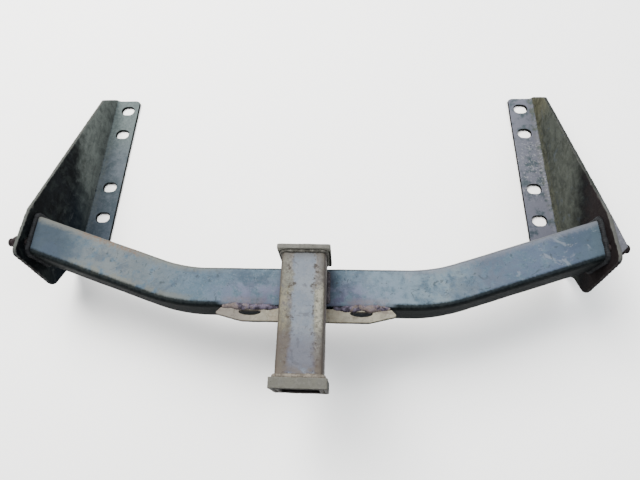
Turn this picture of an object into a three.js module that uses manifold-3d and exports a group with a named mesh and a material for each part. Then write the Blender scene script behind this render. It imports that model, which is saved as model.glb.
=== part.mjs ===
// Rear receiver hitch (tow hitch): a bent square cross tube between two bolt-on side brackets, with a
// receiver tube welded on its middle. It stands on its two bolt flanges, so the receiver is uppermost.
// Millimetres, +Z up, +X to the right across the vehicle, +Y towards the front of the vehicle.
// Inside the weldment Y = 0 is the front end of the bolt flanges and Z = 0 is their upper face.

import * as THREE from 'three';
import { mergeVertices } from 'three/addons/utils/BufferGeometryUtils.js';
import Module from 'manifold-3d';

const wasm = await Module();
wasm.setup();

// Clearance kept between pieces that touch on the real weldment
const gap = 0.3;

// How far a cutting or trimming body reaches past the piece that it works on
const overrun = 40;

// Brackets: one folded steel plate each, a bolt flange and an upright side plate
const plateSpacing = 900;
const plateThickness = 6.4;
const foldRadius = 6;
const flangeWidth = 50.6;
const flangeLength = 392;
const flangeCorner = 10;
const boltHoleSetbacks = [28, 90, 220, 288];
const boltHoleWidth = 26;
const boltHoleLength = 20;
const boltHoleInset = 26.4;

// Side plate corners as [y, z, radius], from its front end round to the rear of the flange
const plateCorners = [
  [0, 4, 0], [-38, 49, 6], [-350, 161, 40],
  [-429, 166, 13], [-447, 50, 18], [-411, 27, 10],
];

// Cross tube: square hollow section, straight in the middle, its arms bent forward to the brackets
const tubeSize = 63.5;
const tubeWall = 4.8;
const tubeCorner = 8;
const tubeTop = 142;
const tubeMiddleY = -468.8;
const bendX = 195;
const bendAngle = THREE.MathUtils.degToRad(18.4);
const bendRadius = 250;

// Receiver: square tube for a 2 inch ball mount, on the cross tube, with a collar round each end
const receiverSize = 63.5;
const receiverSocket = 51.2;
const receiverCorner = 8;
const socketCorner = 2.5;
const receiverFrontY = -426;
const receiverMouthY = -620;
const collarStandout = 6.5;
const collarCorner = 3.5;
const frontCollarLength = 8;
const mouthCollarLength = 15;
const hitchPinDiameter = 16;
const hitchPinSetback = 62;

// Safety chain plate behind the cross tube, passing under the receiver
const chainPlateThickness = 9.5;
const chainPlateRearY = -521.5;
const chainPlateHalfWidth = 136;
const chainPlateCornerX = 93;
const chainPlateCornerRadius = 30;
const chainPlateTipLength = 10;
const chainPlateTipRadius = 3;
const chainSlotX = 82;
const chainSlotWidth = 41;
const chainSlotDepth = 5.5;
const chainSlotSetback = 5.2;

// Stud, washer and nut near the top rear corner of each bracket
const studY = -402;
const studZ = 143;
const studDiameter = 14;
const studEnd = 9;
const washerDiameter = 23;
const washerThickness = 2.5;
const nutAcrossFlats = 19;
const nutHeight = 11;

// Three-cornered gusset standing out level from the outer face of the right bracket, over its nut
const gussetTop = 160;
const gussetThickness = 5;
const gussetFrontY = -350;
const gussetRearY = -417;
const gussetTipY = -405;
const gussetWidth = 13.5;
const gussetTipRadius = 3;

// Weld fillets
const weldLeg = 6;
const collarWeldLeg = 5;
const smallWeldLeg = 3;
const featherEdge = 0.5;
const receiverWeldLeg = 8;
const receiverWeldHeight = 10;
const gussetWeldSetback = 18;
const gussetWeldLength = 20;
const chainWeldEndInset = 12;

// Section of the bead behind the cross tube, as [y, z] from the tube's rear face and the plate's upper face
const chainWeldSection = [[-4, gap], [-2, -4], [6, -3], [6.5, 1.6], [1, 3]];

const plateX = plateSpacing / 2;
const outerX = plateX + plateThickness;
const receiverZ = tubeTop + gap + receiverSize / 2;
const tubeZ = tubeTop - tubeSize / 2;
const tubeRearY = tubeMiddleY - tubeSize / 2;
const chainPlateTop = tubeTop;
const chainPlateFrontY = tubeRearY - gap;
const overallLength = -receiverMouthY;

// Painted, rusting steel in its several weathered states
const paint = { weathered: 0x8b969c, dark: 0x4a4842, rusty: 0x8f8779, pale: 0xb3aa90, bolt: 0x3d3336 };

function steel(colour) {
  return new THREE.MeshStandardMaterial({ color: colour, roughness: 0.75, metalness: 0.35 });
}

// ---------------------------------------------------------------- outlines

// Closed outline through [x, y, radius] corners, each rounded by an arc
function roundedOutline(corners) {
  const shape = new THREE.Shape();
  corners.forEach(([x, y, radius], i) => {
    const corner = new THREE.Vector2(x, y);
    const before = new THREE.Vector2(...corners.at(i - 1)).sub(corner).normalize();
    const after = new THREE.Vector2(...corners[(i + 1) % corners.length]).sub(corner).normalize();
    const turnsRight = after.cross(before) < 0;
    const half = before.angleTo(after) / 2;
    const centre = before.clone().add(after).setLength(radius / Math.sin(half)).add(corner);
    const reach = radius / Math.tan(half);
    const from = before.setLength(reach).add(corner).sub(centre).angle();
    const to = after.setLength(reach).add(corner).sub(centre).angle();
    const startX = radius > 0 ? centre.x + radius * Math.cos(from) : x;
    const startY = radius > 0 ? centre.y + radius * Math.sin(from) : y;
    if (i === 0) shape.moveTo(startX, startY);
    else shape.lineTo(startX, startY);
    if (radius > 0) shape.absarc(centre.x, centre.y, radius, from, to, turnsRight);
  });
  shape.closePath();
  return shape;
}

function roundedRectangle(width, height, radius) {
  const x = width / 2;
  const y = height / 2;
  return roundedOutline([[-x, -y, radius], [x, -y, radius], [x, y, radius], [-x, y, radius]]);
}

// Square ring: outline of a square hollow section or of a collar
function squareRing(size, corner, hole, holeCorner) {
  const shape = roundedRectangle(size, size, corner);
  shape.holes.push(roundedRectangle(hole, hole, holeCorner));
  return shape;
}

// ---------------------------------------------------------------- solids

function extrude(shape, depth, curveSegments = 5) {
  return new THREE.ExtrudeGeometry(shape, { depth, curveSegments, bevelEnabled: false });
}

// Prism of a (x, z) outline, running rearwards from frontY
function prismAlongY(shape, frontY, length, curveSegments) {
  const turn = new THREE.Matrix4().makeRotationX(Math.PI / 2).setPosition(0, frontY, 0);
  return extrude(shape, length, curveSegments).applyMatrix4(turn);
}

// Prism of a (y, z) outline, running outwards from x
function prismAlongX(shape, x, length, curveSegments) {
  const axes = [new THREE.Vector3(0, 1, 0), new THREE.Vector3(0, 0, 1), new THREE.Vector3(1, 0, 0)];
  const turn = new THREE.Matrix4().makeBasis(...axes).setPosition(x, 0, 0);
  return extrude(shape, length, curveSegments).applyMatrix4(turn);
}

// Prism of a (x, y) outline, running upwards from z
function prismAlongZ(shape, z, height, curveSegments) {
  return extrude(shape, height, curveSegments).translate(0, 0, z);
}

function toSolid(geometry) {
  const bare = geometry.clone();
  bare.deleteAttribute('normal');
  bare.deleteAttribute('uv');
  const merged = mergeVertices(bare, 1e-4);
  const vertProperties = new Float32Array(merged.attributes.position.array);
  const triVerts = new Uint32Array(merged.index.array);
  return new wasm.Manifold(new wasm.Mesh({ numProp: 3, vertProperties, triVerts }));
}

function toGeometry(solid) {
  const mesh = solid.getMesh();
  const geometry = new THREE.BufferGeometry();
  geometry.setAttribute('position', new THREE.BufferAttribute(mesh.vertProperties, 3));
  geometry.setIndex(new THREE.BufferAttribute(mesh.triVerts, 1));
  geometry.computeVertexNormals();
  return geometry;
}

function cut(body, ...tools) {
  const rest = tools.reduce((solid, tool) => solid.subtract(toSolid(tool)), toSolid(body));
  return toGeometry(rest);
}

// The same piece on the other side of the vehicle's middle plane
function mirrored(geometry) {
  const copy = mergeVertices(geometry.clone().scale(-1, 1, 1));
  const order = copy.index;
  for (let i = 0; i < order.count; i += 3) {
    const first = order.getX(i);
    order.setX(i, order.getX(i + 2));
    order.setX(i + 2, first);
  }
  return copy;
}

// Prism whose far end is scaled and shifted: the body of a weld fillet round a tube
function taperedPrism(shape, depth, scaleX, scaleY, shiftX) {
  const geometry = extrude(shape, depth);
  const points = geometry.attributes.position;
  for (let i = 0; i < points.count; i += 1) {
    if (points.getZ(i) > depth / 2) {
      points.setXY(i, points.getX(i) * scaleX + shiftX, points.getY(i) * scaleY);
    }
  }
  return geometry;
}

// ---------------------------------------------------------------- cross tube

function tubePath() {
  const tangent = bendRadius * Math.tan(bendAngle / 2);
  const rise = (x) => tubeMiddleY + (x - bendX) * Math.tan(bendAngle);
  const point = (x, y) => new THREE.Vector3(x, y, tubeZ);
  const endX = plateX + overrun;
  const bendStart = bendX - tangent;
  const bendEnd = bendX + tangent * Math.cos(bendAngle);
  const path = new THREE.CurvePath();
  path.add(new THREE.LineCurve3(point(-endX, rise(endX)), point(-bendEnd, rise(bendEnd))));
  path.add(new THREE.QuadraticBezierCurve3(
    point(-bendEnd, rise(bendEnd)), point(-bendX, tubeMiddleY), point(-bendStart, tubeMiddleY)));
  path.add(new THREE.LineCurve3(point(-bendStart, tubeMiddleY), point(bendStart, tubeMiddleY)));
  path.add(new THREE.QuadraticBezierCurve3(
    point(bendStart, tubeMiddleY), point(bendX, tubeMiddleY), point(bendEnd, rise(bendEnd))));
  path.add(new THREE.LineCurve3(point(bendEnd, rise(bendEnd)), point(endX, rise(endX))));
  return path;
}

function sweepAlongTube(shape, steps = 44) {
  return new THREE.ExtrudeGeometry(shape, { steps, curveSegments: 4, extrudePath: tubePath() });
}

// Solid bar a little larger than the cross tube, to trim the pieces that meet it
function tubeEnvelope() {
  const size = tubeSize + 2 * gap;
  return sweepAlongTube(roundedRectangle(size, size, tubeCorner + gap));
}

function crossTube() {
  const bore = tubeSize - 2 * tubeWall;
  const section = squareRing(tubeSize, tubeCorner, bore, tubeCorner - tubeWall);
  const width = plateSpacing - 2 * gap;
  const between = new THREE.BoxGeometry(width, tubeSize * 4, tubeSize * 2);
  between.translate(0, tubeMiddleY, tubeZ);
  return toGeometry(toSolid(sweepAlongTube(section)).intersect(toSolid(between)));
}

// Fillet round the end of the right arm, against the side plate
function tubeEndWeld() {
  const width = tubeSize / Math.cos(bendAngle);
  const shape = roundedRectangle(width + 2 * weldLeg, tubeSize + 2 * weldLeg, tubeCorner + weldLeg);
  const narrow = (size) => (size + 2 * featherEdge) / (size + 2 * weldLeg);
  const lean = weldLeg * Math.tan(bendAngle);
  const ring = taperedPrism(shape, weldLeg, narrow(width), narrow(tubeSize), -lean);
  const armEndY = tubeMiddleY + (plateX - bendX) * Math.tan(bendAngle);
  const axes = [new THREE.Vector3(0, 1, 0), new THREE.Vector3(0, 0, -1), new THREE.Vector3(-1, 0, 0)];
  const place = new THREE.Matrix4().makeBasis(...axes).setPosition(plateX - gap, armEndY, tubeZ);
  return cut(ring.applyMatrix4(place), tubeEnvelope());
}

// ---------------------------------------------------------------- receiver

function receiverTube() {
  const section = squareRing(receiverSize, receiverCorner, receiverSocket, socketCorner);
  const body = prismAlongY(section, receiverFrontY, receiverFrontY - receiverMouthY);
  const pin = new THREE.CylinderGeometry(hitchPinDiameter / 2, hitchPinDiameter / 2, receiverSize * 2, 28);
  pin.rotateZ(Math.PI / 2).translate(0, receiverMouthY + hitchPinSetback, 0);
  return cut(body, pin).translate(0, 0, receiverZ);
}

// Solid bar a little larger than the receiver, to trim the fillets that meet it
function receiverEnvelope() {
  const size = receiverSize + 2 * gap;
  const length = receiverFrontY - receiverMouthY + 2 * overrun;
  const section = roundedRectangle(size, size, receiverCorner + gap);
  return prismAlongY(section, receiverFrontY + overrun, length).translate(0, 0, receiverZ);
}

function collar(frontY, length) {
  const size = receiverSize + 2 * collarStandout;
  const section = squareRing(size, collarCorner, receiverSize + 2 * gap, receiverCorner + gap);
  return prismAlongY(section, frontY, length).translate(0, 0, receiverZ);
}

function frontCollar() {
  return collar(receiverFrontY, frontCollarLength);
}

function mouthCollar() {
  return collar(receiverMouthY + mouthCollarLength, mouthCollarLength);
}

// Fillet between the receiver and one collar: wide at wideY, narrowing in direction way
function collarWeld(wideY, leg, way) {
  const size = receiverSize + 2 * leg;
  const narrow = (receiverSize + 2 * featherEdge) / size;
  const ring = taperedPrism(roundedRectangle(size, size, receiverCorner), leg, narrow, narrow, 0);
  ring.rotateX((-way * Math.PI) / 2).translate(0, wideY, receiverZ);
  return cut(ring, receiverEnvelope());
}

function frontCollarWeld() {
  return collarWeld(receiverFrontY - frontCollarLength - gap, smallWeldLeg, -1);
}

function mouthCollarWeld() {
  return collarWeld(receiverMouthY + mouthCollarLength + gap, collarWeldLeg, 1);
}

// Fillet along the right side of the receiver, on top of the cross tube
function receiverSideWeld() {
  const side = receiverSize / 2;
  const inside = side - receiverCorner / 2;
  const foot = tubeTop + gap;
  const outline = new THREE.Shape([
    new THREE.Vector2(inside, foot),
    new THREE.Vector2(side + receiverWeldLeg, foot),
    new THREE.Vector2(side + gap, tubeTop + receiverWeldHeight),
    new THREE.Vector2(inside, tubeTop + receiverWeldHeight),
  ]);
  const bead = prismAlongY(outline, tubeMiddleY + tubeSize / 2 - weldLeg, tubeSize - 2 * weldLeg);
  return cut(bead, receiverEnvelope());
}

// ---------------------------------------------------------------- safety chain plate

// Slot with a straight front edge and a bowed rear edge, centred on x
function chainSlot(x) {
  const half = chainSlotWidth / 2;
  const radius = (half ** 2 + chainSlotDepth ** 2) / (2 * chainSlotDepth);
  const frontY = chainPlateFrontY - chainSlotSetback;
  const sweep = Math.asin(half / radius);
  const slot = new THREE.Shape();
  slot.moveTo(x + half, frontY);
  slot.absarc(x, frontY - chainSlotDepth + radius, radius, sweep - Math.PI / 2, -sweep - Math.PI / 2, true);
  slot.closePath();
  return slot;
}

function chainPlateOutline() {
  const half = [
    [chainPlateCornerX, chainPlateRearY, chainPlateCornerRadius],
    [chainPlateHalfWidth, chainPlateFrontY - chainPlateTipLength, chainPlateTipRadius],
    [chainPlateHalfWidth - chainPlateTipLength, chainPlateFrontY, 0],
  ];
  const left = half.toReversed().map(([x, y, radius]) => [-x, y, radius]);
  return roundedOutline([...left, ...half]);
}

function chainPlate() {
  const blank = prismAlongZ(chainPlateOutline(), chainPlateTop - chainPlateThickness, chainPlateThickness);
  const slots = [-chainSlotX, chainSlotX].map((x) =>
    prismAlongZ(chainSlot(x), chainPlateTop - 2 * chainPlateThickness, 3 * chainPlateThickness, 10));
  return cut(blank, ...slots);
}

// Bead in the groove between the cross tube's rounded corner and the plate, on the right
function chainPlateWeld() {
  const section = chainWeldSection.map(([y, z]) => new THREE.Vector2(tubeRearY + y, chainPlateTop + z));
  const inner = receiverSize / 2 + receiverWeldLeg + 1;
  const bead = prismAlongX(new THREE.Shape(section), inner, chainPlateHalfWidth - chainWeldEndInset - inner);
  const plate = new THREE.BoxGeometry(chainPlateHalfWidth * 2, overrun, chainPlateThickness + gap);
  plate.translate(0, tubeRearY - overrun / 2, chainPlateTop - (chainPlateThickness - gap) / 2);
  return cut(bead, tubeEnvelope(), plate);
}

// ---------------------------------------------------------------- brackets

// Outline of the whole bracket in (y, z): the side plate, and the flange along its foot
function bracketOutline() {
  return roundedOutline([[-flangeLength, -plateThickness, 0], [0, -plateThickness, 0], ...plateCorners]);
}

// Folded section in (x, z): the flange, the fold and the upright plate
function bracketSection() {
  const top = plateCorners[3][1] + overrun;
  return roundedOutline([
    [plateX - flangeWidth, -plateThickness, 0],
    [outerX, -plateThickness, foldRadius + plateThickness],
    [outerX, top, 0],
    [plateX, top, 0],
    [plateX, 0, foldRadius],
    [plateX - flangeWidth, 0, 0],
  ]);
}

// Plan outline that rounds the flange's front inner corner
function bracketPlan() {
  const inner = plateX - flangeWidth;
  const outer = outerX + overrun;
  const rear = plateCorners[4][0] - overrun;
  return roundedOutline([[inner, rear, 0], [outer, rear, 0], [outer, 0, 0], [inner, 0, flangeCorner]]);
}

function boltHole(setback) {
  const shape = roundedRectangle(boltHoleWidth, boltHoleLength, boltHoleLength / 2 - 0.01);
  return prismAlongZ(shape, -2 * plateThickness, 4 * plateThickness, 8)
    .translate(plateX - boltHoleInset, -setback, 0);
}

function bracket() {
  const length = overrun - plateCorners[4][0];
  const height = plateCorners[3][1] + 3 * overrun;
  const width = flangeWidth + 2 * overrun;
  const folded = toSolid(prismAlongY(bracketSection(), 0, length, 6));
  const outline = toSolid(prismAlongX(bracketOutline(), plateX - flangeWidth - overrun / 2, width, 6));
  const plan = toSolid(prismAlongZ(bracketPlan(), -overrun, height, 6));
  const blank = toGeometry(folded.intersect(outline).intersect(plan));
  return cut(blank, ...boltHoleSetbacks.map(boltHole), studTool());
}

// ---------------------------------------------------------------- gusset, studs, nuts and washers

function studTool() {
  const radius = studDiameter / 2 + gap;
  const tool = new THREE.CylinderGeometry(radius, radius, 2 * overrun, 24);
  return tool.rotateZ(Math.PI / 2).translate(outerX, studY, studZ);
}

// Flat three-cornered plate standing out from the right bracket
function gusset() {
  const root = outerX + gap;
  const outline = roundedOutline([
    [root, gussetFrontY, 0], [root, gussetRearY, 0], [root + gussetWidth, gussetTipY, gussetTipRadius],
  ]);
  return prismAlongZ(outline, gussetTop - gussetThickness, gussetThickness);
}

// Fillet under the gusset, against the bracket
function gussetWeld() {
  const top = gussetTop - gussetThickness - gap;
  const root = outerX + gap;
  const outline = new THREE.Shape([
    new THREE.Vector2(root, top),
    new THREE.Vector2(root, top - smallWeldLeg),
    new THREE.Vector2(root + smallWeldLeg, top),
  ]);
  return prismAlongY(outline, gussetFrontY - gussetWeldSetback, gussetWeldLength);
}

const washerX = outerX + gap;
const nutX = washerX + washerThickness + gap;

// Round or hexagonal disc on the stud's axis, from x outwards
function disc(x, thickness, outerRadius, sides) {
  const body = new THREE.CylinderGeometry(outerRadius, outerRadius, thickness, sides);
  return body.rotateZ(Math.PI / 2).translate(x + thickness / 2, studY, studZ);
}

function washer() {
  return cut(disc(washerX, washerThickness, washerDiameter / 2, 32), studTool());
}

function nut() {
  const radius = nutAcrossFlats / 2 / Math.cos(Math.PI / 6);
  return cut(disc(nutX, nutHeight, radius, 6), studTool());
}

function stud() {
  const length = nutX + nutHeight + studEnd - plateX;
  return disc(plateX, length, studDiameter / 2, 24);
}

// ---------------------------------------------------------------- assembly

const hitch = new THREE.Group();
hitch.position.set(0, overallLength / 2, plateThickness);

function place(name, geometry, colour) {
  const mesh = new THREE.Mesh(geometry, steel(colour));
  mesh.name = name;
  hitch.add(mesh);
}

function placePair(name, geometry, colour) {
  place(`right_${name}`, geometry, colour);
  place(`left_${name}`, mirrored(geometry), colour);
}

place('cross_tube', crossTube(), paint.weathered);
place('receiver_tube', receiverTube(), paint.weathered);
place('receiver_front_collar', frontCollar(), paint.rusty);
place('receiver_mouth_collar', mouthCollar(), paint.rusty);
place('safety_chain_plate', chainPlate(), paint.pale);
place('front_collar_weld', frontCollarWeld(), paint.rusty);
place('mouth_collar_weld', mouthCollarWeld(), paint.rusty);
placePair('bracket', bracket(), paint.dark);
placePair('tube_end_weld', tubeEndWeld(), paint.dark);
placePair('receiver_weld', receiverSideWeld(), paint.rusty);
placePair('chain_plate_weld', chainPlateWeld(), paint.pale);
place('right_gusset', gusset(), paint.weathered);
place('right_gusset_weld', gussetWeld(), paint.rusty);
placePair('washer', washer(), paint.bolt);
placePair('nut', nut(), paint.bolt);
placePair('stud', stud(), paint.bolt);

export default hitch;
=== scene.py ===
# Looks of the rear receiver hitch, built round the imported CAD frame. Metres, +Z up.
import bpy
import math
import numpy as np
from mathutils import Matrix, Vector, noise


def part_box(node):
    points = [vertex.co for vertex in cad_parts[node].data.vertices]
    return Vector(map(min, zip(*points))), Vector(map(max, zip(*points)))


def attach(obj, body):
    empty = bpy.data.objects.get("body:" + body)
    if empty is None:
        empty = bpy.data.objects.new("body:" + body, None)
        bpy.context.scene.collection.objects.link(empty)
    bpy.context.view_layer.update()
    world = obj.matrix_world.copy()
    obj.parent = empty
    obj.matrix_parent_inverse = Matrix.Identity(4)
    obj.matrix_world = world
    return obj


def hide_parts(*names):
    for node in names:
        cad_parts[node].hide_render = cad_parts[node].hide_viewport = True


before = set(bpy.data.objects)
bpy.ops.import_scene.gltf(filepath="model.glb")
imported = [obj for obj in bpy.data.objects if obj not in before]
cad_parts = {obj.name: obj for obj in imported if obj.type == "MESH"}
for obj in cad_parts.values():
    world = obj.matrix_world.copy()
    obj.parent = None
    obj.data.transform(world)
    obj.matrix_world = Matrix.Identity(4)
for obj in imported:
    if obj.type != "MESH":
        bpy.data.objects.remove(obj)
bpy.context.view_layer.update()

# The camera's place, the way it looks and its right-hand direction, then its lens in millimetres
CAMERA_PLACE = Vector((0.0569, -0.3560, 0.8010))
CAMERA_LOOK = Vector((-0.0543, 0.3866, -0.9206))
CAMERA_RIGHT = Vector((0.9985, 0.0302, -0.0462))
CAMERA_LENS = 25.6
SENSOR_WIDTH = 36.0

# Cross tube: the same path as the CAD part's, straight in the middle and bent once on each side
TUBE_SIZE = 0.0635
TUBE_CORNER = 0.008
TUBE_END_X = 0.4497
BEND_X = 0.195
BEND_ANGLE = math.radians(18.4)
BEND_RADIUS = 0.250
TUBE_STEP = 0.003

# Inner face of each side plate, and the receiver's section
PLATE_X = 0.450
RECEIVER_SIZE = 0.0635
RECEIVER_CORNER = 0.008

# Centre line of a weld bead: how far it keeps from the faces, and how much it leans off the plate
BEAD_OFFSET = 0.0008
BEAD_LEAN = 0.9

# Radius of the bore in the nuts and washers
BORE_RADIUS = 0.0073


# ---------------------------------------------------------------- camera, floor and light

def make_camera():
    data = bpy.data.cameras.new("camera")
    data.lens = CAMERA_LENS
    data.sensor_width = SENSOR_WIDTH
    camera = bpy.data.objects.new("camera", data)
    bpy.context.scene.collection.objects.link(camera)
    back = -CAMERA_LOOK.normalized()
    right = (CAMERA_RIGHT - CAMERA_RIGHT.dot(back) * back).normalized()
    up = back.cross(right)
    turn = Matrix((right, up, back)).transposed().to_4x4()
    camera.matrix_world = Matrix.Translation(CAMERA_PLACE) @ turn
    bpy.context.scene.camera = camera


def make_light(name, place, target, size, power, colour):
    data = bpy.data.lights.new(name, "AREA")
    data.energy = power
    data.size = size
    data.color = colour
    light = bpy.data.objects.new(name, data)
    bpy.context.scene.collection.objects.link(light)
    light.location = place
    light.rotation_mode = "QUATERNION"
    light.rotation_quaternion = (Vector(target) - Vector(place)).to_track_quat("-Z", "Y")


def make_world(colour, strength):
    world = bpy.data.worlds.new("world")
    bpy.context.scene.world = world
    world.use_nodes = True
    background = world.node_tree.nodes["Background"]
    background.inputs["Color"].default_value = (*colour, 1)
    background.inputs["Strength"].default_value = strength


# ---------------------------------------------------------------- meshes

def new_object(name, points, faces):
    mesh = bpy.data.meshes.new(name)
    mesh.from_pydata([tuple(p) for p in points], [], [tuple(f) for f in faces])
    mesh.update()
    mesh.polygons.foreach_set("use_smooth", np.ones(len(mesh.polygons), bool))
    piece = bpy.data.objects.new(name, mesh)
    bpy.context.scene.collection.objects.link(piece)
    return piece


# Quads between rings of size points each. A closed body's last ring joins its first; an open one
# gets two flat ends
def ring_faces(rings, size, closed):
    faces = []
    for i in range(rings if closed else rings - 1):
        following = (i + 1) % rings
        for j in range(size):
            k = (j + 1) % size
            faces.append((i * size + j, i * size + k, following * size + k, following * size + j))
    if not closed:
        faces.append(tuple(range(size - 1, -1, -1)))
        faces.append(tuple(range((rings - 1) * size, rings * size)))
    return faces


# Outline of a rounded rectangle: each row is a point (across, up) and the direction out of it there
def rounded_outline(width, height, corner, step, arc_steps):
    outline = []
    for turn in range(4):
        angle = turn * math.pi / 2
        c, s = math.cos(angle), math.sin(angle)
        half_width, half_height = (width / 2, height / 2) if turn % 2 == 0 else (height / 2, width / 2)
        flat = half_height - corner
        flat_steps = max(2, round(2 * flat / step))
        for i in range(flat_steps):
            y = -flat + 2 * flat * i / flat_steps
            outline.append((half_width * c - y * s, half_width * s + y * c, c, s))
        for i in range(arc_steps):
            a = (math.pi / 2) * i / arc_steps
            x, y = half_width - corner + corner * math.cos(a), flat + corner * math.sin(a)
            outline.append((x * c - y * s, x * s + y * c, math.cos(a + angle), math.sin(a + angle)))
    return outline


def side_name(side):
    return "right" if side > 0 else "left"


def mesh_points(mesh):
    points = np.empty(len(mesh.vertices) * 3)
    mesh.vertices.foreach_get("co", points)
    return points.reshape(-1, 3)


def mesh_normals(mesh):
    normals = np.empty(len(mesh.vertices) * 3)
    mesh.vertex_normals.foreach_get("vector", normals)
    return normals.reshape(-1, 3)


def set_points(mesh, points):
    mesh.vertices.foreach_set("co", np.ascontiguousarray(points).ravel())
    mesh.update()


def mesh_edges(mesh):
    edges = np.empty(len(mesh.edges) * 2, np.int64)
    mesh.edges.foreach_get("vertices", edges)
    return edges.reshape(-1, 2)


# Mean of each vertex's neighbours, for an array with one row for each vertex
def neighbour_mean(values, edges):
    size = len(values)
    a, b = edges[:, 0], edges[:, 1]
    count = np.maximum(np.bincount(a, minlength=size) + np.bincount(b, minlength=size), 1)
    columns = [np.bincount(a, values[b, i], size) + np.bincount(b, values[a, i], size)
               for i in range(values.shape[1])]
    return np.stack(columns, 1) / count[:, None]


# Dense even mesh of one CAD node, its sharp edges rounded off a little
def fine_copy(node, voxel, rounds=2):
    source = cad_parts[node]
    piece = bpy.data.objects.new(node + "_look", source.data.copy())
    bpy.context.scene.collection.objects.link(piece)
    weld = piece.modifiers.new("weld", "WELD")
    weld.merge_threshold = 0.00001
    remesh = piece.modifiers.new("remesh", "REMESH")
    remesh.mode = "VOXEL"
    remesh.voxel_size = voxel
    remesh.use_smooth_shade = True
    graph = bpy.context.evaluated_depsgraph_get()
    mesh = bpy.data.meshes.new_from_object(piece.evaluated_get(graph))
    piece.modifiers.clear()
    mesh.materials.clear()
    piece.data = mesh
    edges = mesh_edges(mesh)
    points = mesh_points(mesh)
    for _ in range(rounds):
        points = 0.5 * points + 0.5 * neighbour_mean(points, edges)
    set_points(mesh, points)
    mesh.polygons.foreach_set("use_smooth", np.ones(len(mesh.polygons), bool))
    return piece


# Stores how convex the surface is at each vertex: above 0 on edges, below 0 in corners.
# The paint wears off where it is high
def mark_wear(piece, spacing, rounds=3):
    mesh = piece.data
    edges = mesh_edges(mesh)
    points = mesh_points(mesh)
    bulge = points - neighbour_mean(points, edges)
    wear = np.sum(bulge * mesh_normals(mesh), axis=1)[:, None] / spacing
    for _ in range(rounds):
        wear = 0.4 * wear + 0.6 * neighbour_mean(wear, edges)
    layer = mesh.attributes.new("wear", "FLOAT", "POINT")
    layer.data.foreach_set("value", np.clip(wear[:, 0] * 5, -1, 1).astype(np.float32))


# Dents and pits the surface: each (depth, scale) is one layer of noise, always inwards
def roughen(piece, layers, seed):
    mesh = piece.data
    points = mesh_points(mesh)
    normals = mesh_normals(mesh)
    shift = Vector((seed * 7.3, seed * 3.1, seed * 5.7))
    depth = np.zeros(len(points))
    for amount, scale in layers:
        values = [noise.noise(Vector(p) * scale + shift) for p in points]
        depth += amount * (0.5 + 0.5 * np.array(values))
    set_points(mesh, points - normals * depth[:, None])


# Holds the piece within the box of the CAD node that it stands for
def keep_in_box(piece, node):
    low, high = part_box(node)
    set_points(piece.data, np.clip(mesh_points(piece.data), np.array(low), np.array(high)))


# Gives the piece its material and puts it in the place of its CAD node
def finish_piece(piece, node, slot, material):
    piece.data.materials.clear()
    piece.data.materials.append(material)
    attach(piece, "root")
    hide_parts(node)


# ---------------------------------------------------------------- cross tube

# Right half of the tube's centre line, from the middle outwards, as rings (x, y, angle, mitre).
# The bend is a quadratic curve; mitre grows from 0 to 1 along the straight arm
def tube_path(middle_y, step):
    tangent = BEND_RADIUS * math.tan(BEND_ANGLE / 2)
    start = (BEND_X - tangent, middle_y)
    corner = (BEND_X, middle_y)
    c, s = math.cos(BEND_ANGLE), math.sin(BEND_ANGLE)
    end = (BEND_X + tangent * c, middle_y + tangent * s)
    rings = []
    count = round(start[0] / step)
    for i in range(count):
        rings.append((start[0] * i / count, middle_y, 0.0, 0.0))
    count = round(2 * tangent / step)
    for i in range(count):
        t = i / count
        x = (1 - t) ** 2 * start[0] + 2 * t * (1 - t) * corner[0] + t * t * end[0]
        y = (1 - t) ** 2 * start[1] + 2 * t * (1 - t) * corner[1] + t * t * end[1]
        dx = 2 * (1 - t) * (corner[0] - start[0]) + 2 * t * (end[0] - corner[0])
        dy = 2 * (1 - t) * (corner[1] - start[1]) + 2 * t * (end[1] - corner[1])
        rings.append((x, y, math.atan2(dy, dx), 0.0))
    length = (TUBE_END_X - end[0]) / c
    count = round(length / step)
    for i in range(count + 1):
        t = i / count
        rings.append((end[0] + c * length * t, end[1] + s * length * t, BEND_ANGLE, t))
    return rings


# The tube's end rings are mitred, so that they lie flat against the side plates. Each vertex keeps
# its place across the tube, from -1 at the mouth's side to 1 at the front, for the paint
def cross_tube():
    low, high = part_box("cross_tube")
    middle_y = low.y + TUBE_SIZE / 2
    middle_z = (low.z + high.z) / 2
    right = tube_path(middle_y, TUBE_STEP)
    left = [(-x, y, -angle, mitre) for x, y, angle, mitre in reversed(right[1:])]
    outline = rounded_outline(TUBE_SIZE, TUBE_SIZE, TUBE_CORNER, TUBE_STEP, arc_steps=6)
    points = []
    across_values = []
    for x, y, angle, mitre in left + right:
        c, s = math.cos(angle), math.sin(angle)
        for across, up, _, _ in outline:
            slide = mitre * across * math.tan(angle)
            points.append((x - s * across + c * slide, y + c * across + s * slide, middle_z + up))
            across_values.append(2 * across / TUBE_SIZE)
    faces = ring_faces(len(left) + len(right), len(outline), closed=False)
    piece = new_object("cross_tube_look", points, faces)
    layer = piece.data.attributes.new("across", "FLOAT", "POINT")
    layer.data.foreach_set("value", np.array(across_values, np.float32))
    return piece


# ---------------------------------------------------------------- weld beads

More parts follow.
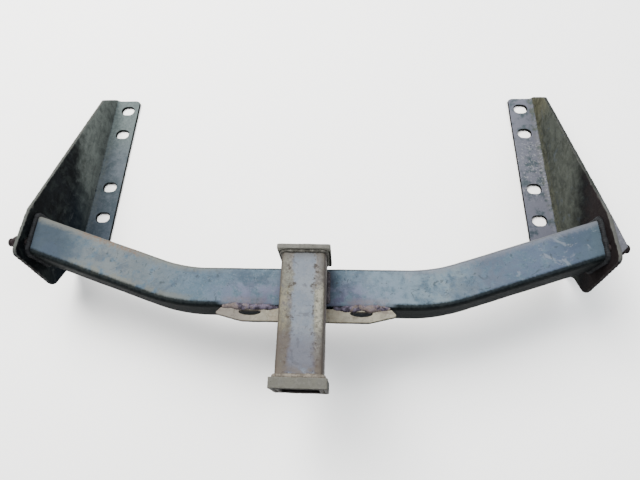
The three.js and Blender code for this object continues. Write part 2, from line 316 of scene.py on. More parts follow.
# Rippled bead along (point, away) pairs; away points out of the corner that the bead fills.
# An open bead thins over taper at both ends; rough varies its size and wander shifts it sideways
def weld_bead(name, spine, radius, closed, seed, pitch=0.0035, squash=1.0, taper=0.0027, rough=0.2,
              wander=0.0):
    sides = 10
    count = len(spine)
    total = (spine[-1][0] - spine[0][0]).length
    points = []
    travelled = 0.0
    for i, (place, away) in enumerate(spine):
        after = spine[(i + 1) % count][0] if closed or i < count - 1 else place
        before = spine[i - 1][0] if closed or i > 0 else place
        along = (after - before).normalized()
        side = along.cross(away).normalized()
        travelled += (place - before).length if closed or i > 0 else 0.0
        ripple = abs(math.sin(math.pi * travelled / pitch))
        uneven = noise.noise(place * 90 + Vector((seed, 0, 0)))
        size = radius * (0.84 + 0.14 * ripple + rough * uneven)
        ends = 1.0 if closed else min(1.0, 0.45 + 0.55 * min(travelled, total - travelled) / taper)
        centre = place + side * wander * noise.noise(place * 55 + Vector((seed, 7, 0)))
        for j in range(sides):
            angle = 2 * math.pi * j / sides
            offset = away * math.cos(angle) * squash + side * math.sin(angle)
            points.append(centre + offset * size * ends)
    return new_object(name, points, ring_faces(count, sides, closed))


# Even points from start to end, all with the same away direction
def straight_spine(start, end, away, step=0.0009):
    start, end = Vector(start), Vector(end)
    count = max(3, round((end - start).length / step))
    away = Vector(away).normalized()
    return [(start.lerp(end, i / count), away) for i in range(count + 1)]


# Closed spine round a rounded rectangle; place_at turns (across, up) into a point or a direction
def ring_spine(width, height, corner, lean, place_at, step=0.0009):
    arc_steps = max(4, round(corner * math.pi / 2 / step))
    outline = rounded_outline(width, height, corner, step, arc_steps)
    return [(place_at(x, y), (place_at(u, v, True) + lean).normalized()) for x, y, u, v in outline]


def tube_end_bead(side):
    name = side_name(side)
    low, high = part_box(f"{name}_tube_end_weld")
    middle = Vector((side * (PLATE_X - BEAD_OFFSET), (low.y + high.y) / 2, (low.z + high.z) / 2))
    outset = 0.001
    width = TUBE_SIZE / math.cos(BEND_ANGLE) + outset
    lean = Vector((-side * BEAD_LEAN, 0, 0))

    def place_at(across, up, direction=False):
        offset = Vector((0, across, up))
        return offset if direction else middle + offset
    spine = ring_spine(width, TUBE_SIZE + outset, TUBE_CORNER, lean, place_at)
    return weld_bead(f"{name}_tube_end_weld_look", spine, radius=0.0048, closed=True, seed=3 + side)


# Bead round the receiver against one collar, which lies in direction way along Y
def collar_bead(node, radius, way):
    low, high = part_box(node)
    y = high.y if way > 0 else low.y
    middle = Vector((0, y - way * BEAD_OFFSET, (low.z + high.z) / 2))
    lean = Vector((0, -way * BEAD_LEAN, 0))

    def place_at(across, up, direction=False):
        offset = Vector((across, 0, up))
        return offset if direction else middle + offset
    spine = ring_spine(RECEIVER_SIZE, RECEIVER_SIZE, RECEIVER_CORNER, lean, place_at)
    return weld_bead(node + "_look", spine, radius, closed=True, seed=11 + way)


def receiver_bead(side):
    name = side_name(side)
    low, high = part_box(f"{name}_receiver_weld")
    x = side * (RECEIVER_SIZE / 2 + BEAD_OFFSET)
    z = low.z + BEAD_OFFSET / 2
    inset = 0.001
    spine = straight_spine((x, low.y + inset, z), (x, high.y - inset, z), (side, 0, 1))
    return weld_bead(f"{name}_receiver_weld_look", spine, radius=0.0042, closed=False, seed=21 + side)


def chain_plate_bead(side):
    name = side_name(side)
    low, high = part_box(f"{name}_chain_plate_weld")
    plate_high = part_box("safety_chain_plate")[1]
    y = plate_high.y + 1.5 * BEAD_OFFSET
    z = plate_high.z - BEAD_OFFSET
    spine = straight_spine((low.x, y, z), (high.x, y, z), (0, -0.1, 1))
    return weld_bead(f"{name}_chain_plate_weld_look", spine, radius=0.0050, closed=False, seed=31 + side,
                     squash=0.6, taper=0.018, rough=0.45, wander=0.0030)


def gusset_bead():
    low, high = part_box("right_gusset_weld")
    spine = straight_spine((low.x, low.y, high.z), (low.x, high.y, high.z), (1, 0, -1), step=0.0006)
    return weld_bead("right_gusset_weld_look", spine, radius=0.0026, closed=False, seed=41, pitch=0.0025)


# ---------------------------------------------------------------- studs, nuts and washers

# Closed body round the X axis through (y, z): each ring is (x, function of angle giving the radius)
def turned(name, rings, y, z, segments):
    points = []
    for x, radius in rings:
        for j in range(segments):
            angle = 2 * math.pi * j / segments
            r = radius(angle)
            points.append((x, y + r * math.cos(angle), z + r * math.sin(angle)))
    return new_object(name, points, ring_faces(len(rings), segments, closed=True))


def axis_of(node):
    low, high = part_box(node)
    return (low.y + high.y) / 2, (low.z + high.z) / 2


# Stud with a helical thread, four rings to a turn, and a chamfered outer end
def threaded_stud(side):
    name = side_name(side) + "_stud"
    low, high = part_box(name)
    y, z = axis_of(name)
    radius = (high.z - low.z) / 2
    inner, outer = (low.x, high.x) if side > 0 else (high.x, low.x)
    pitch, thread_depth, chamfer_length, end_radius = 0.0018, 0.0009, 0.0016, 0.0002
    steps = round(abs(outer - inner) / (pitch / 4))
    rings = [(inner, lambda angle: end_radius)]
    for i in range(steps + 1):
        t = i / steps
        left = (1 - t) * abs(outer - inner)
        chamfer = max(0.0, chamfer_length - left) * 0.9

        def profile(angle, i=i, chamfer=chamfer):
            wave = 0.5 + 0.5 * math.cos(2 * math.pi * (i / 4 - angle / (2 * math.pi)))
            return radius - thread_depth * wave - chamfer
        rings.append((inner + (outer - inner) * t, profile))
    rings.append((outer, lambda angle: end_radius))
    return turned(name + "_look", rings, y, z, 36)


# Hexagonal nut with its corners chamfered at both ends and a round bore
def chamfered_nut(side):
    name = side_name(side) + "_nut"
    low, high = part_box(name)
    y, z = axis_of(name)
    width, height = high.y - low.y, high.z - low.z
    flat = min(width, height) / 2
    inner, outer = (low.x, high.x) if side > 0 else (high.x, low.x)
    way = 1 if outer > inner else -1

    def hexagon(angle):
        turned_angle = angle if width > height else angle + math.pi / 6
        return flat / math.cos((turned_angle % (math.pi / 3)) - math.pi / 6)

    def limited(limit):
        return lambda angle: min(hexagon(angle), flat * limit)

    def bore(angle):
        return BORE_RADIUS
    depth = abs(outer - inner)
    shape = [(0.0, bore), (0.0, limited(1.0)), (0.03, limited(1.02)), (0.12, limited(1.09)),
             (0.2, hexagon), (0.8, hexagon),
             (0.88, limited(1.09)), (0.97, limited(1.02)), (1.0, limited(1.0)), (1.0, bore)]
    rings = [(inner + way * depth * t, radius) for t, radius in shape]
    return turned(name + "_look", rings, y, z, 72)


# Flat washer with its outer edges rounded off
def rounded_washer(side):
    name = side_name(side) + "_washer"
    low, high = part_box(name)
    y, z = axis_of(name)
    radius = (high.z - low.z) / 2
    inner, outer = low.x, high.x
    edge = 0.0004
    shape = [(inner, BORE_RADIUS), (inner, radius - edge), (inner + edge, radius),
             (outer - edge, radius), (outer, radius - edge), (outer, BORE_RADIUS)]
    rings = [(x, lambda angle, r=r: r) for x, r in shape]
    return turned(name + "_look", rings, y, z, 48)


# ---------------------------------------------------------------- materials

# Scale on every colour of the part, which sets how bright it is against the floor
TONE = 0.31

# Places that the paint follows: the mouth's end face, the socket, and the top of the bolt flanges
MOUTH_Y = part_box("receiver_mouth_collar")[0].y
RECEIVER_Z = axis_of("receiver_tube")[1]
SOCKET_HALF = 0.0256
FLANGE_TOP = 0.0064


# Linear colour of a six-digit sRGB code
def linear(code):
    parts = [int(code[i:i + 2], 16) / 255 for i in (0, 2, 4)]
    return tuple(p / 12.92 if p <= 0.04045 else ((p + 0.055) / 1.055) ** 2.4 for p in parts) + (1.0,)


# A material and short ways to add nodes to it; x, y, z and facing are the surface point and its normal
class Shader:
    def __init__(self, name):
        self.material = bpy.data.materials.new(name)
        self.material.use_nodes = True
        self.tree = self.material.node_tree
        self.surface = self.tree.nodes["Principled BSDF"]
        self.coordinates = self.node("ShaderNodeTexCoord").outputs["Object"]
        split = self.node("ShaderNodeSeparateXYZ")
        self.put(split.inputs[0], self.coordinates)
        self.x, self.y, self.z = split.outputs
        facing = self.node("ShaderNodeSeparateXYZ")
        self.put(facing.inputs[0], self.node("ShaderNodeNewGeometry").outputs["Normal"])
        self.facing = facing.outputs

    def node(self, kind):
        return self.tree.nodes.new(kind)

    def put(self, socket, value):
        if isinstance(value, bpy.types.NodeSocket):
            self.tree.links.new(value, socket)
        else:
            socket.default_value = value

    def noise(self, scale, detail=4.0, roughness=0.6, stretch=(1, 1, 1), offset=0.0, distortion=0.0):
        mapping = self.node("ShaderNodeMapping")
        self.put(mapping.inputs["Vector"], self.coordinates)
        mapping.inputs["Scale"].default_value = stretch
        mapping.inputs["Location"].default_value = (offset, offset * 0.7, offset * 1.3)
        texture = self.node("ShaderNodeTexNoise")
        self.put(texture.inputs["Vector"], mapping.outputs[0])
        texture.inputs["Scale"].default_value = scale
        texture.inputs["Detail"].default_value = detail
        texture.inputs["Roughness"].default_value = roughness
        texture.inputs["Distortion"].default_value = distortion
        return texture.outputs[0]

    # One math node on sockets or numbers
    def calc(self, operation, a, b=0.0, c=0.0):
        node = self.node("ShaderNodeMath")
        node.operation = operation
        for socket, value in zip(node.inputs, (a, b, c)):
            self.put(socket, value)
        return node.outputs[0]

    # A noise centred on 0 and scaled by amount
    def wobble(self, value, amount):
        return self.calc("MULTIPLY", self.calc("SUBTRACT", value, 0.5), amount)

    # Smooth step from 0 at start to 1 at end; start may be above end
    def step(self, value, start, end):
        node = self.node("ShaderNodeMapRange")
        node.interpolation_type = "SMOOTHSTEP"
        flip = start > end
        self.put(node.inputs[0], value)
        self.put(node.inputs[1], min(start, end))
        self.put(node.inputs[2], max(start, end))
        self.put(node.inputs[3], 1.0 if flip else 0.0)
        self.put(node.inputs[4], 0.0 if flip else 1.0)
        return node.outputs[0]

    # Colours are sockets or sRGB codes; inputs 6 and 7 of the node are its two colours
    def mix(self, factor, a, b, blend="MIX"):
        node = self.node("ShaderNodeMix")
        node.data_type = "RGBA"
        node.blend_type = blend
        self.put(node.inputs[0], factor)
        self.put(node.inputs[6], linear(a) if isinstance(a, str) else a)
        self.put(node.inputs[7], linear(b) if isinstance(b, str) else b)
        return node.outputs[2]

    # Product of factors, each a socket or a number
    def both(self, *factors):
        result = factors[0]
        for factor in factors[1:]:
            result = self.calc("MULTIPLY", result, factor)
        return result

    # The colour with a coat over it where all factors are high
    def over(self, colour, coat, *factors):
        return self.mix(self.both(*factors), colour, coat)

    # 1 within half of middle along one axis, fading over soft
    def band(self, value, middle, half, soft):
        distance = self.calc("ABSOLUTE", self.calc("SUBTRACT", value, middle))
        return self.step(distance, half + soft, half)

    # The colour times a number, and times the part's common tone
    def toned(self, colour, number=1.0):
        shade = self.calc("MULTIPLY", number, TONE)
        grey = self.node("ShaderNodeCombineColor")
        for i in range(3):
            self.put(grey.inputs[i], shade)
        return self.mix(1.0, colour, grey.outputs[0], "MULTIPLY")

    def attribute(self, name):
        node = self.node("ShaderNodeAttribute")
        node.attribute_name = name
        return node.outputs["Fac"]

    def finish(self, colour, roughness, height, bump=0.5, distance=0.0006, specular=0.10):
        self.put(self.surface.inputs["Base Color"], colour)
        self.put(self.surface.inputs["Roughness"], roughness)
        self.surface.inputs["Specular IOR Level"].default_value = specular
        node = self.node("ShaderNodeBump")
        node.inputs["Strength"].default_value = bump
        node.inputs["Distance"].default_value = distance
        self.put(node.inputs["Height"], height)
        self.put(self.surface.inputs["Normal"], node.outputs[0])
        return self.material


# Painted steel, dusty and bleached on its upper faces, with worn rusty edges and pits. Faces that
# don't turn up get the darker side colours, partly the paint's own colour and partly painted shade.
# top is two base colours, a fleck and a scuff colour; side is two base colours and a fleck; edge is two
# colours. facing is how far a face turns up where the side colour ends and where the top colour is full
def weathered_paint(name, top, side, edge, pits, seed, edge_strength=0.8, zones=None,
                    facing=(0.30, 0.75), patchy=0.06, flecks=0.65, scuffed=0.6, specular=0.10):
    grain = 0.35
    paint = Shader(name)
    large = paint.noise(16, 3, 0.6, offset=seed)
    middle = paint.noise(60, 5, 0.65, offset=seed + 1)
    small = paint.noise(230, 4, 0.7, offset=seed + 2)
    fine = paint.noise(800, 3, 0.7, offset=seed + 3)
    lean = paint.calc("ADD", paint.facing[2], paint.wobble(small, 0.25))
    up = paint.step(lean, *facing)
    blend = paint.calc("ADD", paint.calc("MULTIPLY", large, 0.4), paint.calc("MULTIPLY", middle, 0.6))
    top_colour = paint.mix(paint.step(blend, 0.5 - patchy, 0.5 + patchy), top[0], top[1])
    top_colour = paint.over(top_colour, top[2], paint.step(small, 0.48, 0.66), flecks)
    scuffs = paint.noise(150, 4, 0.7, offset=seed + 4, distortion=1.5)
    top_colour = paint.over(top_colour, top[3], paint.step(scuffs, 0.44, 0.34), scuffed)
    side_paint_and_shade = paint.mix(paint.step(blend, 0.44, 0.60), side[0], side[1])
    side_paint_and_shade = paint.over(side_paint_and_shade, side[2], paint.step(small, 0.55, 0.72), 0.5)
    # Top colour on faces that turn up, elsewhere the side colour, which is partly painted shade
    colour = paint.mix(up, side_paint_and_shade, top_colour)
    worn = paint.calc("ADD", paint.attribute("wear"), paint.wobble(middle, 1.1))
    worn = paint.calc("ADD", worn, paint.wobble(small, 0.9))
    rusty = paint.step(paint.noise(110, 3, 0.6, offset=seed + 5), 0.45, 0.60)
    edge_colour = paint.mix(rusty, edge[0], edge[1])
    colour = paint.over(colour, edge_colour, paint.step(worn, 0.22, 0.5), edge_strength)
    if zones:
        colour = zones(paint, colour, up, middle, small)
    pit_noise = paint.noise(190, 4, 0.7, offset=seed + 7, distortion=0.8)
    pit = paint.step(pit_noise, 0.69 - pits * 0.1, 0.75 - pits * 0.1)
    colour = paint.over(colour, "2a221d", pit, 0.7)
    colour = paint.toned(colour, paint.calc("MULTIPLY_ADD", fine, grain, 1.0 - grain / 2))
    roughness = paint.calc("ADD", 0.58, paint.calc("MULTIPLY", small, 0.35))
    height = paint.calc("ADD", paint.calc("MULTIPLY", small, 0.6), paint.calc("MULTIPLY", fine, 0.3))
    height = paint.calc("SUBTRACT", height, paint.calc("MULTIPLY", pit, 0.5))
    return paint.finish(colour, roughness, height, bump=0.8, distance=0.0009, specular=specular)


# Zone functions paint what lies at one place of a piece over its general colour. Each gets the
# shader, that colour, how much the face turns up, and the two noises of middle and small size.
# Places are in metres along the part's axes, and across is the place across the tube

# Tube: dark ends, warm and slate patches on the arms, lilac heat tints by the welds; painted shade
# along the top's mouth-side edge on the arms and right beside the receiver
def tube_zones(paint, colour, up, middle, small):
    away = paint.calc("ABSOLUTE", paint.x)
    right = paint.step(paint.x, -0.1, 0.1)
    across = paint.attribute("across")
    wander = paint.wobble(small, 0.5)
    ragged = paint.calc("ADD", across, wander)
    bitty = paint.step(small, 0.40, 0.60)
    patchy = paint.step(middle, 0.40, 0.60)
    warm = paint.both(paint.band(paint.x, -0.29, 0.045, 0.08), up, paint.step(middle, 0.34, 0.54))
    colour = paint.over(colour, "8b8d87", warm, 0.6)
    warm = paint.both(paint.band(paint.x, 0.24, 0.030, 0.07), up, paint.step(middle, 0.44, 0.60))
    colour = paint.over(colour, "959688", warm, 0.4)
    ends = paint.both(paint.step(away, 0.33, 0.41), up)
    colour = paint.over(colour, paint.mix(right, "434e58", "596a77"), ends, 0.8)
    lilac = paint.both(paint.band(away, 0.075, 0.030, 0.06), patchy, up, paint.step(across, 0.6, -0.2))
    colour = paint.over(colour, "8c8ca9", lilac, 0.65)
    flecks = paint.both(paint.band(away, 0.08, 0.03, 0.05), up,
                        paint.step(paint.noise(300, 3, 0.6, offset=3), 0.62, 0.70))
    colour = paint.over(colour, "b4b7c4", flecks, 0.4)
    indigo = paint.both(paint.band(away, 0.060, 0.015, 0.04), paint.step(across, -0.1, -0.6), up, patchy)
    colour = paint.over(colour, "5d5b78", indigo, 0.55)
    pale = paint.both(up, paint.band(paint.x, 0.17, 0.06, 0.04), paint.step(middle, 0.30, 0.60))
    colour = paint.over(colour, "9cb2c0", pale, 0.45)
    slate = paint.both(up, paint.band(paint.x, 0.33, 0.06, 0.05), paint.step(middle, 0.32, 0.58))
    colour = paint.over(colour, "5e6985", slate, 0.6)
    slate = paint.both(up, paint.band(paint.x, -0.19, 0.06, 0.04), paint.step(middle, 0.42, 0.60))
    colour = paint.over(colour, "587083", slate, 0.4)
    cloud = paint.both(up, paint.step(paint.noise(17, 6, 0.75, offset=15, distortion=0.6), 0.50, 0.62))
    colour = paint.over(colour, "536174", cloud, 0.45)
    bright = paint.both(up, paint.step(paint.noise(30, 5, 0.7, offset=33, distortion=0.5), 0.56, 0.66),
                        paint.step(paint.x, 0.06, 0.14))
    colour = paint.over(colour, "a7afb9", bright, 0.5)
    cracks = paint.both(up, paint.step(paint.noise(45, 4, 0.7, offset=5, distortion=2.5), 0.40, 0.35))
    colour = paint.over(colour, "4c555a", cracks, 0.55)
    upper = paint.step(paint.facing[2], 0.15, 0.50)
    lip = paint.both(paint.step(across, 0.84, 0.94), upper)
    colour = paint.over(colour, "6b7378", lip, 0.8)
    front = paint.both(paint.step(ragged, 0.55, 0.84), paint.step(away, 0.08, 0.20), upper)
    colour = paint.over(colour, paint.mix(right, "8f8f85", "8e909a"), front, 0.55)
    back = paint.both(paint.step(ragged, -0.38, -0.62), paint.step(paint.x, -0.13, -0.20),
                      paint.step(middle, 0.38, 0.54), up)
    colour = paint.over(colour, "8f8e80", back, paint.step(away, 0.40, 0.35), 0.5)
    rust = paint.both(paint.band(paint.x, -0.315, 0.040, 0.03), paint.step(ragged, 0.62, 0.86),
                      bitty, upper)
    colour = paint.over(colour, "94694a", rust, 0.5)
    # Painted shade: near-black along the top face's mouth-side edge, moving where the lit top gives way to
    # the shaded side
    shade = paint.calc("ADD", across, paint.calc("MULTIPLY", wander, 0.25))
    shade = paint.both(paint.step(shade, -0.66, -0.80), paint.step(away, 0.118, 0.136))
    colour = paint.over(colour, paint.mix(bitty, "12191c", "252b2b"), shade, 0.92)
    smear = paint.both(paint.band(away, 0.092, 0.022, 0.018), paint.step(ragged, -0.40, -0.62), upper,
                       paint.step(small, 0.30, 0.55))
    colour = paint.over(colour, paint.mix(patchy, "6f6a72", "8f8789"), smear, 0.55)
    # Painted shade: the top darkened right beside the receiver, in the corner where it meets the tube
    root = paint.step(away, 0.050, 0.033)
    return paint.over(colour, "454152", root, up, 0.55)


# End face of the mouth, on the receiver and on its collar, which gets painted shade
def shaded_mouth_face(paint):
    return paint.both(paint.step(paint.facing[1], -0.5, -0.8),
                      paint.step(paint.y, MOUTH_Y + 0.0025, MOUTH_Y + 0.0010))


# Receiver: blue-grey down the middle of its top, flaking brown margins on both sides, dark socket,
# painted shade on the mouth's end face
def receiver_zones(paint, colour, up, middle, small):
    away = paint.calc("ABSOLUTE", paint.x)
    right = paint.step(paint.x, -0.010, 0.010)
    stripe_x = 0.0022
    aside = paint.calc("ABSOLUTE", paint.calc("SUBTRACT", paint.x, stripe_x))
    ragged = paint.calc("ADD", aside, paint.wobble(middle, 0.020))
    margin = paint.both(paint.step(ragged, 0.0125, 0.0175), up)
    scale = paint.mix(paint.step(small, 0.40, 0.60), "6a6558", "a29f92")
    scale = paint.mix(paint.step(middle, 0.50, 0.60), scale, "7f8079")
    tint = paint.step(paint.noise(24, 3, 0.6, offset=41), 0.42, 0.58)
    scale = paint.mix(0.30, scale, paint.mix(tint, "9a9880", "8a7f86"))
    spots = paint.step(paint.noise(115, 5, 0.75, offset=43, distortion=0.8), 0.53, 0.62)
    scale = paint.over(scale, "5a5248", spots, 0.6)
    colour = paint.over(colour, scale, margin, 0.85)
    border = paint.step(paint.noise(140, 4, 0.7, offset=17), 0.52, 0.60)
    border = paint.both(paint.band(ragged, 0.0165, 0.0030, 0.004), up, border)
    colour = paint.over(colour, "4f453c", border, 0.8)
    outer = paint.both(paint.step(away, 0.020, 0.029), up)
    colour = paint.over(colour, "6f695f", outer, 0.5)
    reach = paint.calc("MULTIPLY_ADD", right, -0.045, paint.calc("MULTIPLY", -1.0, paint.y))
    brown = paint.both(paint.step(reach, 0.205, 0.240), paint.step(ragged, 0.012, 0.018), up,
                       paint.step(small, 0.25, 0.50))
    colour = paint.over(colour, "645950", brown, 0.65)
    lower = paint.both(paint.step(paint.y, -0.225, -0.262), up, paint.step(ragged, 0.020, 0.014),
                       paint.step(middle, 0.30, 0.44))
    colour = paint.over(colour, "72727f", lower, 0.7)
    stain = paint.both(paint.step(paint.noise(38, 4, 0.65, offset=14, distortion=1.6), 0.57, 0.64), up)
    colour = paint.over(colour, "666871", stain, 0.5)
    mouth = paint.both(paint.step(paint.y, -0.276, -0.290), up, paint.step(middle, 0.38, 0.5))
    colour = paint.over(colour, "80766b", mouth, 0.7)
    front = paint.both(paint.step(paint.y, -0.142, -0.126), up)
    colour = paint.over(colour, "6f695f", front, 0.6)
    cream = paint.both(paint.band(paint.y, -0.205, 0.020, 0.02), paint.step(away, 0.016, 0.021),
                       paint.step(small, 0.35, 0.60), up, paint.calc("MULTIPLY_ADD", right, 0.30, 0.45))
    colour = paint.over(colour, paint.mix(right, "aba383", "c6c2b0"), cream)
    rim = paint.both(paint.step(away, 0.0275, 0.0300), paint.step(paint.z, 0.19, 0.205))
    colour = paint.over(colour, "4d423a", rim, 0.6)
    inside = paint.step(away, SOCKET_HALF + 0.0016, SOCKET_HALF + 0.0008)
    inside = paint.both(inside, paint.band(paint.z, RECEIVER_Z, SOCKET_HALF + 0.0006, 0.0006))
    colour = paint.over(colour, "1b1613", inside)
    # Painted shade on the mouth's end face, which faces away from the lights
    return paint.over(colour, "2b2823", shaded_mouth_face(paint), 0.8)


# Collars: bare grey steel with painted shade on right faces and on the front collar's rear face below
# its upper edge, a painted light band along that edge, painted shade on the mouth's end face, and
# partly olive at the mouth
def collar_zones(paint, colour, up, middle, small):
    # Painted shade on the faces that turn to the right, away from the key light
    shaded = paint.both(paint.step(paint.facing[0], 0.45, 0.75), paint.step(paint.facing[2], 0.5, 0.2))
    colour = paint.over(colour, "2b2a27", shaded, 0.85)
    # Painted shade on the front collar's rear face, with a band of painted light along its upper edge
    rear_face_shading = paint.both(paint.step(paint.facing[1], -0.45, -0.75), paint.step(paint.y, -0.20, -0.15))
    rear_light_and_shade = paint.mix(paint.step(paint.z, 0.203, 0.210), "2a2b25", "c8c6ba")
    colour = paint.over(colour, rear_light_and_shade, rear_face_shading, 0.85)
    # Painted shade on the mouth's end face
    colour = paint.over(colour, "33312c", shaded_mouth_face(paint), 0.8)
    olive = paint.both(paint.step(paint.y, -0.27, -0.30), paint.step(middle, 0.42, 0.56),
                       paint.step(paint.facing[2], 0.2, 0.5))
    return paint.over(colour, "6e6d60", olive, 0.45)


# Chain plate: cream and tan on top, pinkish at the left wing and by the weld, painted shade on its
# edge faces and underside
def chain_plate_zones(paint, colour, up, middle, small):
    away = paint.calc("ABSOLUTE", paint.x)
    pinkish = paint.both(paint.step(paint.x, -0.07, -0.10), up)
    colour = paint.over(colour, "8d8480", pinkish, 0.65)
    pinkish = paint.both(paint.step(paint.y, -0.1985, -0.1955), up, paint.step(middle, 0.42, 0.54))
    colour = paint.over(colour, "7d6d69", pinkish, 0.6)
    tan = paint.both(paint.step(away, 0.062, 0.045), up, paint.step(small, 0.40, 0.56))
    colour = paint.over(colour, "b09a80", tan, 0.5)
    cream = paint.both(up, paint.step(paint.noise(50, 4, 0.65, offset=19), 0.50, 0.60),
                       paint.step(paint.x, -0.11, -0.06))
    colour = paint.over(colour, "cfcab4", cream, 0.5)
    grime = paint.both(up, paint.step(paint.noise(75, 4, 0.7, offset=23, distortion=1.2), 0.56, 0.64))
    colour = paint.over(colour, "6e675b", grime, 0.5)
    # Painted shade on the plate's edge faces and underside
    rear = paint.both(paint.step(paint.z, 0.1474, 0.1464), paint.step(paint.facing[2], 0.8, 0.5))
    return paint.over(colour, "1d1916", rear, 0.7)


# Brackets: streaks of pale paint on the front and lower part of each side plate, darker towards the
# cross tube, partly dark paint and partly painted shade, bluish to lilac flanges, rims of their own
# colour, painted shade on the walls of the bolt holes
def bracket_zones(paint, colour, up, middle, small):
    away = paint.calc("ABSOLUTE", paint.x)
    streaks = paint.noise(70, 6, 0.75, stretch=(1, 0.7, 1), offset=9, distortion=0.7)
    upright = paint.step(paint.facing[2], 0.5, 0.2)
    right = paint.step(paint.x, -0.1, 0.1)
    left = paint.step(right, 0.6, 0.4)
    slope = paint.calc("MULTIPLY_ADD", paint.y, 0.5, paint.calc("MULTIPLY_ADD", right, 0.062, 0.035))
    slope = paint.calc("ADD", paint.calc("SUBTRACT", slope, paint.z), paint.wobble(middle, 0.08))
    streaks = paint.calc("MULTIPLY_ADD", paint.step(streaks, 0.25, 0.70), 0.55, 0.35)
    # Above the slope the plate keeps its dark side colour towards the cross tube, partly paint and partly
    # painted shade
    pale = paint.both(paint.step(slope, -0.02, 0.05), streaks)
    olive = paint.mix(paint.step(paint.y, 0.21, 0.28), "686d65", "7d7c67")
    colour = paint.over(colour, paint.mix(right, "88918c", olive), pale, upright)
    fold = paint.both(paint.band(paint.z, 0.013, 0.007, 0.008), paint.step(away, 0.438, 0.444),
                      paint.step(small, 0.35, 0.60), paint.step(paint.y, -0.08, 0.05))
    colour = paint.over(colour, paint.mix(right, "7d8582", "7c7d68"), fold, 0.55)
    smudge = paint.both(paint.step(paint.noise(26, 4, 0.6, offset=12, distortion=3.0), 0.58, 0.66),
                        upright, paint.step(paint.z, 0.12, 0.05))
    colour = paint.over(colour, paint.mix(right, "6f7574", "66707e"), smudge, 0.32)
    blotches = paint.both(paint.step(paint.noise(34, 5, 0.7, offset=27, distortion=1.0), 0.50, 0.60),
                          upright)
    colour = paint.over(colour, paint.mix(right, "39413f", "30322b"), blotches, 0.4)
    brown = paint.both(right, upright, paint.step(slope, 0.0, -0.05))
    colour = paint.over(colour, "352c2c", brown, 0.6)
    blue = paint.both(left, upright, paint.step(paint.z, 0.10, 0.03), paint.step(paint.y, 0.12, 0.00))
    colour = paint.over(colour, "1a2733", blue, 0.6)
    flange = paint.both(up, paint.step(paint.z, 0.02, 0.01))
    rear = paint.both(flange, paint.step(paint.y, 0.14, -0.09))
    colour = paint.over(colour, "3b4a5e", rear, paint.calc("MULTIPLY_ADD", right, -0.12, 0.62))
    ahead = paint.both(flange, left, paint.step(paint.y, 0.14, 0.24))
    colour = paint.over(colour, paint.mix(paint.step(small, 0.40, 0.60), "778483", "8c9997"), ahead, 0.8)
    lilac = paint.both(flange, right, paint.step(middle, 0.38, 0.52))
    colour = paint.over(colour, "9896a8", lilac, 0.5)
    white = paint.both(up, right, paint.band(paint.y, 0.14, 0.05, 0.04),
                       paint.step(paint.noise(260, 3, 0.6, offset=8), 0.56, 0.62))
    colour = paint.over(colour, "c4c6cb", white, 0.6)
    rim = paint.both(up, paint.step(paint.z, 0.02, 0.03))
    front_rim = paint.calc("MAXIMUM", left, paint.step(paint.y, -0.06, 0.02))
    colour = paint.over(colour, paint.mix(right, "666862", "34352d"), rim, front_rim, 0.85)
    rear_rim = paint.both(rim, right, paint.step(paint.y, 0.02, -0.06))
    colour = paint.over(colour, "67645c", rear_rim, 0.7)
    # Painted shade on the walls of the bolt holes
    hole_wall_shade = paint.both(paint.step(paint.z, FLANGE_TOP + 0.0005, FLANGE_TOP),
                      paint.step(away, 0.444, 0.440), paint.step(paint.facing[2], 0.97, 0.90))
    return paint.over(colour, "0b0c0e", hole_wall_shade, 0.92)


# Dull mottled steel of the beads and fasteners; blotch is a second colour, denser towards the ends
def weld_material(name, low, high, seed, blotch=None):
    paint = Shader(name)
    middle = paint.noise(120, 4, 0.65, offset=seed)
    fine = paint.noise(700, 3, 0.7, offset=seed + 1)
    colour = paint.mix(paint.step(middle, 0.4, 0.6), low, high)
    if blotch:
        outer = paint.calc("MULTIPLY", paint.step(paint.calc("ABSOLUTE", paint.x), 0.055, 0.120), 0.14)
        patch = paint.calc("ADD", paint.noise(95, 4, 0.75, offset=seed + 2), outer)
        colour = paint.over(colour, blotch, paint.step(patch, 0.53, 0.63), 0.75)
    colour = paint.toned(paint.over(colour, "2e2824", paint.step(fine, 0.45, 0.65), 0.4))
    height = paint.calc("ADD", paint.calc("MULTIPLY", middle, 0.6), paint.calc("MULTIPLY", fine, 0.3))
    return paint.finish(colour, paint.calc("ADD", 0.55, paint.calc("MULTIPLY", fine, 0.35)), height)


# Plain pale floor with a hardly visible variation
def floor_material():
    paint = Shader("floor")
    colour = paint.mix(paint.noise(3, 2), "f4f4f3", "f7f7f6")
    return paint.finish(colour, 0.9, paint.noise(40, 2), bump=0.0)


# ---------------------------------------------------------------- the scene

make_camera()
floor_half = 6.0
corners = [(floor_half * a, floor_half * b, 0.0) for a, b in ((-1, -1), (1, -1), (1, 1), (-1, 1))]
floor = new_object("floor", corners, [(0, 1, 2, 3)])
floor.data.materials.append(floor_material())
make_light("key", (-0.9, 1.1, 2.2), target=(0, 0, 0), size=1.8, power=250, colour=(1.0, 0.98, 0.95))
make_light("fill", (1.4, 0.4, 1.8), target=(0, 0, 0), size=1.6, power=40, colour=(0.92, 0.96, 1.0))
make_world((0.96, 0.98, 1.0), strength=1.0)

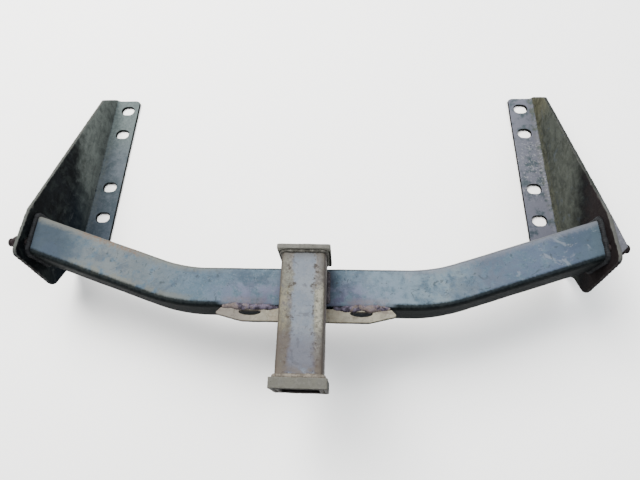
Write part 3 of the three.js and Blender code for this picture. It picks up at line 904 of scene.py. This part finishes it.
tube_paint = weathered_paint(
    "tube_paint", top=("687e8f", "8297a9", "929ea9", "566675"), side=("0e171c", "18242b", "2b363c"),
    edge=("8f8a76", "75685a"), pits=0.0, seed=1.0, edge_strength=0.3, zones=tube_zones,
    facing=(0.76, 0.97), patchy=0.10, flecks=0.45, scuffed=0.4, specular=0.04)
receiver_paint = weathered_paint(
    "receiver_paint", top=("8a94a2", "9ba3ac", "a6a9ad", "787b82"), side=("7a7572", "8d8681", "9e958c"),
    edge=("5d5145", "837b6c"), pits=0.3, seed=20.0, zones=receiver_zones,
    patchy=0.10, flecks=0.4, scuffed=0.4)
collar_steel = weathered_paint(
    "collar_steel", top=("7b7a73", "8b8a83", "9a9892", "66645e"), side=("787670", "8a8880", "98958c"),
    edge=("aaa8a4", "8a8578"), pits=0.2, seed=30.0, edge_strength=0.5, zones=collar_zones,
    flecks=0.4, scuffed=0.5)
chain_plate_steel = weathered_paint(
    "chain_plate_steel", top=("a59f8e", "bebaa9", "c8c5b5", "827a71"), side=("2e2a26", "453c34", "5d5448"),
    edge=("8f8b76", "66624f"), pits=0.2, seed=40.0, edge_strength=0.75, zones=chain_plate_zones,
    patchy=0.10)
bracket_paint = weathered_paint(
    "bracket_paint", top=("5f6c73", "7a848d", "8c9199", "4b545b"), side=("0d1114", "1a1f23", "2a2f31"),
    edge=("8b8d8a", "6b6862"), pits=0.2, seed=50.0, edge_strength=0.6, zones=bracket_zones,
    patchy=0.10, flecks=0.4, scuffed=0.5, specular=0.03)
gusset_paint = weathered_paint(
    "gusset_paint", top=("74757e", "868791", "96969e", "5c5c64"), side=("1c1c1e", "2a2a2b", "3a3937"),
    edge=("8b8d8a", "6b6862"), pits=0.2, seed=60.0, edge_strength=0.4)
weld_dark = weld_material("weld_dark", "1f2226", "36393d", 1.0)
weld_brown = weld_material("weld_brown", "312a28", "4b423c", 4.0)
weld_grey = weld_material("weld_grey", "63615a", "95928a", 5.0)
weld_plum = weld_material("weld_plum", "4a444b", "78727a", 6.0)
weld_pink = weld_material("weld_pink", "3f3948", "857c92", 7.0, blotch="93857d")
weld_beige = weld_material("weld_beige", "7d756a", "a59c8f", 8.0)
fastener_steel = weld_material("fastener_steel", "211a1b", "3b3134", 9.0)

# Each layer of dents is its depth and how fine its noise is
piece = cross_tube()
mark_wear(piece, TUBE_STEP)
roughen(piece, [(0.0006, 25), (0.0003, 120)], 1)
keep_in_box(piece, "cross_tube")
finish_piece(piece, "cross_tube", "tube_paint", tube_paint)

bracket_dents = [(0.0006, 20), (0.0004, 140)]
for node, slot, material, voxel, dents in (
    ("receiver_tube", "receiver_paint", receiver_paint, 0.0016, [(0.0004, 60), (0.0005, 260)]),
    ("receiver_front_collar", "collar_steel", collar_steel, 0.0013, [(0.0006, 60), (0.0005, 300)]),
    ("receiver_mouth_collar", "collar_steel", collar_steel, 0.0014, [(0.0008, 60), (0.0006, 300)]),
    ("safety_chain_plate", "chain_plate_steel", chain_plate_steel, 0.0013, [(0.0006, 50), (0.0004, 260)]),
    ("right_bracket", "bracket_paint", bracket_paint, 0.0014, bracket_dents),
    ("left_bracket", "bracket_paint", bracket_paint, 0.0014, bracket_dents),
    ("right_gusset", "gusset_paint", gusset_paint, 0.0010, [(0.0004, 80)]),
):
    piece = fine_copy(node, voxel)
    mark_wear(piece, voxel)
    roughen(piece, dents, len(node))
    keep_in_box(piece, node)
    finish_piece(piece, node, slot, material)

for side, name in ((1, "right"), (-1, "left")):
    finish_piece(tube_end_bead(side), f"{name}_tube_end_weld", "weld_bead", weld_dark)
    finish_piece(receiver_bead(side), f"{name}_receiver_weld", "weld_bead", weld_plum)
    finish_piece(chain_plate_bead(side), f"{name}_chain_plate_weld", "weld_bead", weld_pink)
    finish_piece(threaded_stud(side), f"{name}_stud", "fastener_steel", fastener_steel)
    finish_piece(chamfered_nut(side), f"{name}_nut", "fastener_steel", fastener_steel)
    finish_piece(rounded_washer(side), f"{name}_washer", "fastener_steel", fastener_steel)
finish_piece(collar_bead("front_collar_weld", 0.0028, 1), "front_collar_weld", "weld_bead", weld_grey)
finish_piece(collar_bead("mouth_collar_weld", 0.0036, -1), "mouth_collar_weld", "weld_bead", weld_beige)
finish_piece(gusset_bead(), "right_gusset_weld", "weld_bead", weld_brown)
